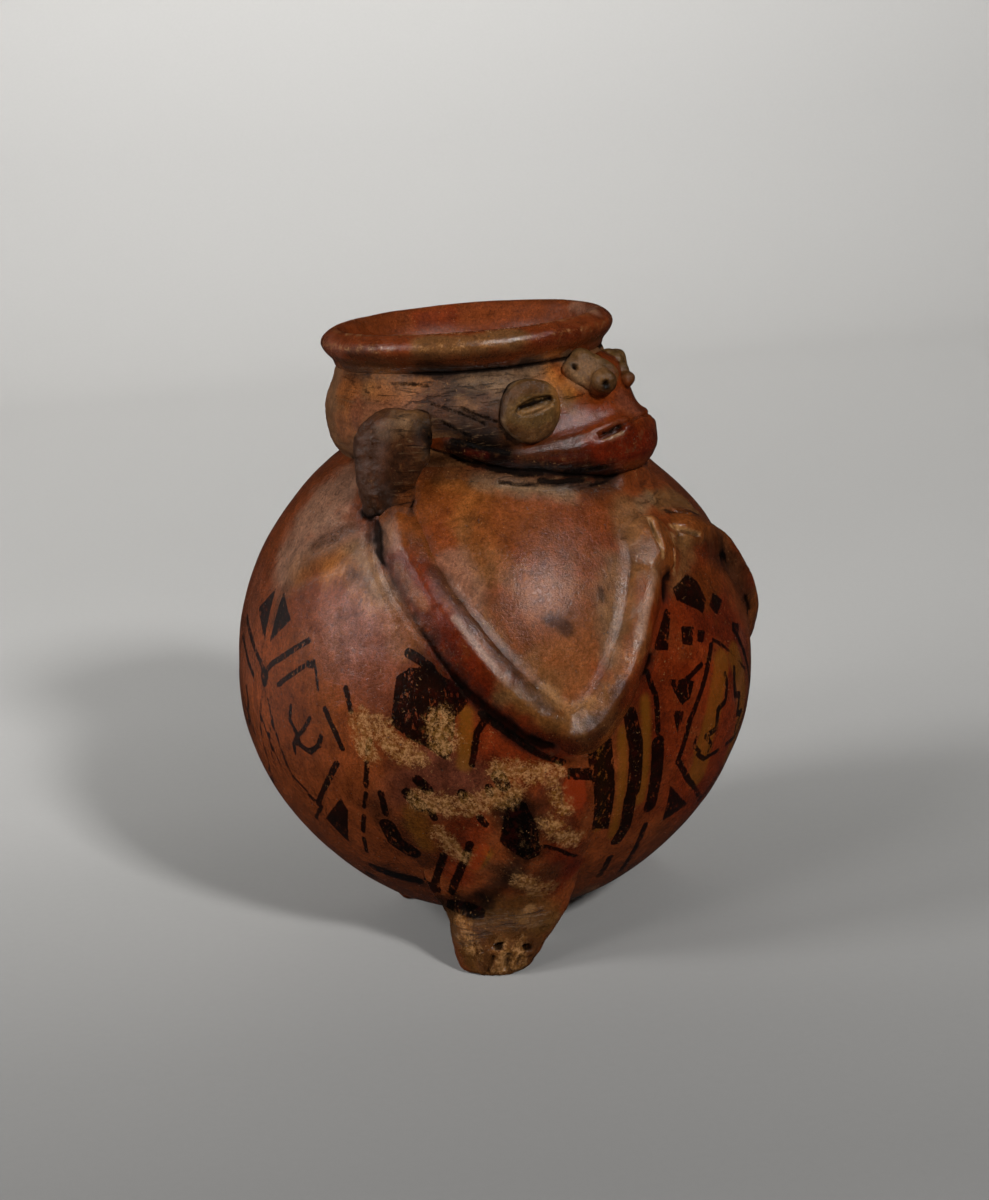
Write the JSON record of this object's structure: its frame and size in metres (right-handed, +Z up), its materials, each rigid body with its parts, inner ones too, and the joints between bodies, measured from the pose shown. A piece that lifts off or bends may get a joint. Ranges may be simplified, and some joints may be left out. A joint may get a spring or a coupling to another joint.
{
  "type": "tripod effigy jar",
  "caption": "Small hand-built clay jar on three feet, with an animal face on its neck, arms bent on its belly and a loop lug on each shoulder.",
  "frame": {"origin": "middle of the vessel's bounding box at the floor, under the soles of its three feet", "axes": "+Z up along the vessel's axis, -Y the way the face looks, -X the figure's right side"},
  "size_m": [0.1234, 0.1238, 0.1464],
  "materials": {
    "burnished_slip": "burnished painted slip",
    "red_slip": "burnished red slip",
    "smoothed_clay": "smoothed worn slip",
    "grimed_clay": "dark grimed clay",
    "worn_clay": "worn bare clay"
  },
  "bodies": {
    "root": {"body_shell": "burnished_slip", "neck_collar": "smoothed_clay", "rim_lip": "red_slip", "muzzle": "red_slip", "eye_right": "grimed_clay", "eye_left": "grimed_clay", "nose_right": "grimed_clay", "nose_left": "grimed_clay", "lug_right": "grimed_clay", "lug_left": "grimed_clay", "arm_right": "burnished_slip", "arm_left": "burnished_slip", "leg_right": "worn_clay", "leg_left": "worn_clay", "leg_rear": "worn_clay"}
  },
  "joints": []
}
